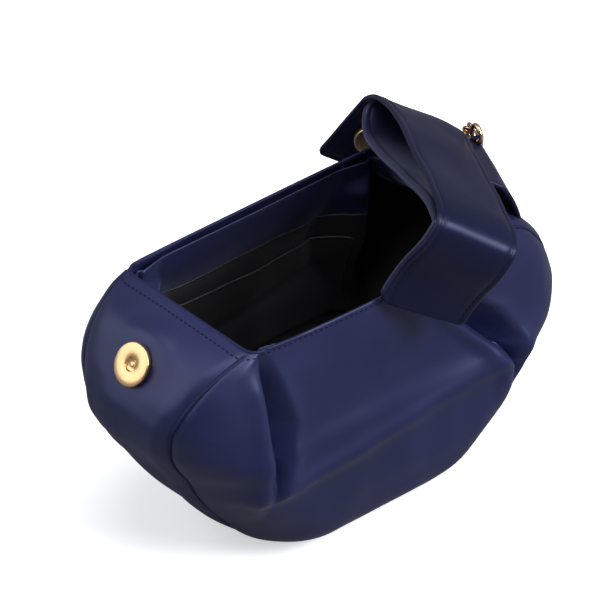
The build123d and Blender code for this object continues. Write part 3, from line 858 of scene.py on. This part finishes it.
wireFoot = boxCentre("chain_ring") - upward * ringLook["major"]
beside, behind = 105.0, 53.0                    # the bag's widest half-length and half-width
chainLook = dict(
    route=[wireFoot + Vector((3.0, 4.4, 2.4)), wireFoot + Vector((6.9, 11.4, -2.3)),
           (beside + 0.5, behind * 0.49, rimZ * 0.939), (beside + 4, behind * 0.62, rimZ * 0.798),
           (beside + 5.5, behind * 0.717, rimZ * 0.632), (beside + 6, behind * 0.774, rimZ * 0.439),
           (beside + 6, behind * 0.83, rimZ * 0.246), (beside + 4, behind * 0.981, 11),
           (beside - 2, behind + 13.5, 3.9), (beside - 11, behind + 23, 3.6), (beside - 25, behind + 30, 3.6),
           (beside - 41, behind + 33, 3.6), (beside - 55, behind + 39, 3.6), (beside - 65, behind + 48, 3.6)],
    pitch=5.2, long=3.9, wide=2.75, around=22, lean=28.0, wire=dict(size=(0.78, 0.78), sides=8))
claspLook = dict(long=6.6, wide=2.7, around=40, drop=1.0, wire=dict(size=(1.15, 1.15), sides=12),
                 barFrom=7.9, barTo=4.6, bar=dict(size=(1.8, 1.8), sides=14))


# points in metres, read from the chain's own smooth curve
def routeLine():
    curve = bpy.data.curves.new("chainRoute", "CURVE")
    curve.dimensions = "3D"
    curve.resolution_u = 16
    spline = curve.splines.new("NURBS")
    spline.points.add(len(chainLook["route"]) - 1)
    for point, at in zip(spline.points, chainLook["route"]):
        point.co = (at[0] * metre, at[1] * metre, at[2] * metre, 1)
    spline.order_u = 3
    spline.use_endpoint_u = True
    holder = bpy.data.objects.new("chainRoute", curve)
    mesh = bpy.data.meshes.new_from_object(holder)
    line = [v.co.copy() for v in mesh.vertices]
    bpy.data.objects.remove(holder)
    bpy.data.curves.remove(curve)
    bpy.data.meshes.remove(mesh)
    return line


def makeClasp(way):
    centre = boxCentre("chain_clasp") - upward * claspLook["drop"]
    side = way.cross(upward).normalized()
    loop = ovalLine(centre, way * claspLook["long"], side * claspLook["wide"], claspLook["around"])
    bm = tubeAlong(loop, claspLook["wire"], closed=True)
    bar = [centre - way * claspLook["barFrom"], centre - way * claspLook["barTo"]]
    tubeAlong(bar, claspLook["bar"], bm=bm)
    return finishPiece("chainClasp", bm, rose, "bag", ("chain_clasp",))


def makeChain():
    line = routeLine()
    path = [p / metre for p in line]
    count = int(lineLength(path) / chainLook["pitch"]) + 1
    spots = spacedPoints(path, count)
    spots[0] = spots[0].lerp(spots[1], -0.3)
    lean = math.radians(chainLook["lean"])
    bm = bmesh.new()
    for i, spot in enumerate(spots[1:], 1):
        way = (spots[min(i + 1, count - 1)] - spots[i - 1]).normalized()
        side = way.cross(upward)
        side = side.normalized() if side.length > 0.2 else way.cross(Vector((1, 0, 0))).normalized()
        other = way.cross(side)
        if i % 2:                               # each link stands across the one before
            side, other = other, side
        side, other = (side * math.cos(lean) + other * math.sin(lean),
                       other * math.cos(lean) - side * math.sin(lean))
        link = ovalLine(spot, way * chainLook["long"], side * chainLook["wide"], chainLook["around"])
        tubeAlong(link, chainLook["wire"], closed=True, bm=bm, up=other)
    chain = finishPiece("wristChain", bm, rose, "bag", ("wrist_chain",))
    clasp = makeClasp((path[-1] - path[-6]).normalized())
    tuple(chainLook["route"][0] * metre)
    round(lineLength(line), 4)


makeRing()
makeChain()
print("ring and chain made")

# the hidden board and washer keep plain finishes
for name, material in (("base_board", lining), ("panel_snap_washer", gold)):
    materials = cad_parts[name].data.materials
    materials.clear()
    materials.append(material)

studio = dict(
    floorSize=6.0, floorSeen=(0.22, 0.22, 0.23, 1), floorShown=(0.93, 0.93, 0.93, 1),
    floorLift=(0.5, 0.505, 0.515, 1), room=(0.2, 0.205, 0.225, 1), aim=(0, 0, 0.08),
    # name, place, size and power of each lamp
    lamps=[("topSoft", (0.0, -0.3, 2.0), 1.8, 23.0), ("rightSoft", (0.7, -1.65, 1.25), 1.1, 44.0),
           ("backSoft", (-1.35, 1.2, 1.15), 2.2, 18.0)])


def makeStudio():
    bm = bmesh.new()
    bmesh.ops.create_grid(bm, x_segments=1, y_segments=1, size=studio["floorSize"])
    mesh = bpy.data.meshes.new("floor")
    bm.to_mesh(mesh)
    bm.free()
    floor = bpy.data.objects.new("floor", mesh)
    bpy.context.scene.collection.objects.link(floor)
    m = newMaker("paleFloor", Roughness=0.85, Specular_IOR_Level=0.1, Emission_Strength=1.0)
    toCamera = m.node("ShaderNodeLightPath")[0]
    m.feed("Base Color", m.mix(toCamera, studio["floorSeen"], studio["floorShown"]))
    m.feed("Emission Color", m.mix(toCamera, (0, 0, 0, 1), studio["floorLift"]))
    mesh.materials.append(m.owner)
    world = bpy.context.scene.world = bpy.data.worlds.new("studio")
    m = Maker(world)
    m.feed("Color", m.mix(m.node("ShaderNodeLightPath")[0], studio["room"], (1, 1, 1, 1)))
    for name, spot, size, power in studio["lamps"]:
        light = bpy.data.lights.new(name, "AREA")
        light.shape = "DISK"
        light.size = size
        light.energy = power
        lamp = bpy.data.objects.new(name, light)
        lamp.location = spot
        lamp.rotation_euler = (Vector(studio["aim"]) - Vector(spot)).to_track_quat("-Z", "Y").to_euler()
        bpy.context.scene.collection.objects.link(lamp)


view = dict(azimuth=-41.0, elevation=35.0, distance=3.0, span=0.24, centre=(0.0, 0.0, rimZ),
            shift=(5.4, 21.04))


def makeCamera():
    az, el = math.radians(view["azimuth"]), math.radians(view["elevation"])
    toCamera = Vector((math.sin(az) * math.cos(el), -math.cos(az) * math.cos(el), math.sin(el)))
    right = Vector((math.cos(az), math.sin(az), 0))
    target = Vector(view["centre"]) - right * view["shift"][0] - toCamera.cross(right) * view["shift"][1]
    data = bpy.data.cameras.new("camera")
    data.lens = 36.0 * view["distance"] / view["span"]
    data.clip_end = 20.0
    camera = bpy.data.objects.new("camera", data)
    camera.location = target * metre + toCamera * view["distance"]
    camera.rotation_euler = (-toCamera).to_track_quat("-Z", "Y").to_euler()
    bpy.context.scene.collection.objects.link(camera)
    bpy.context.scene.camera = camera
    bpy.context.scene.view_settings.view_transform = "Standard"


makeStudio()
makeCamera()
print("stage made")
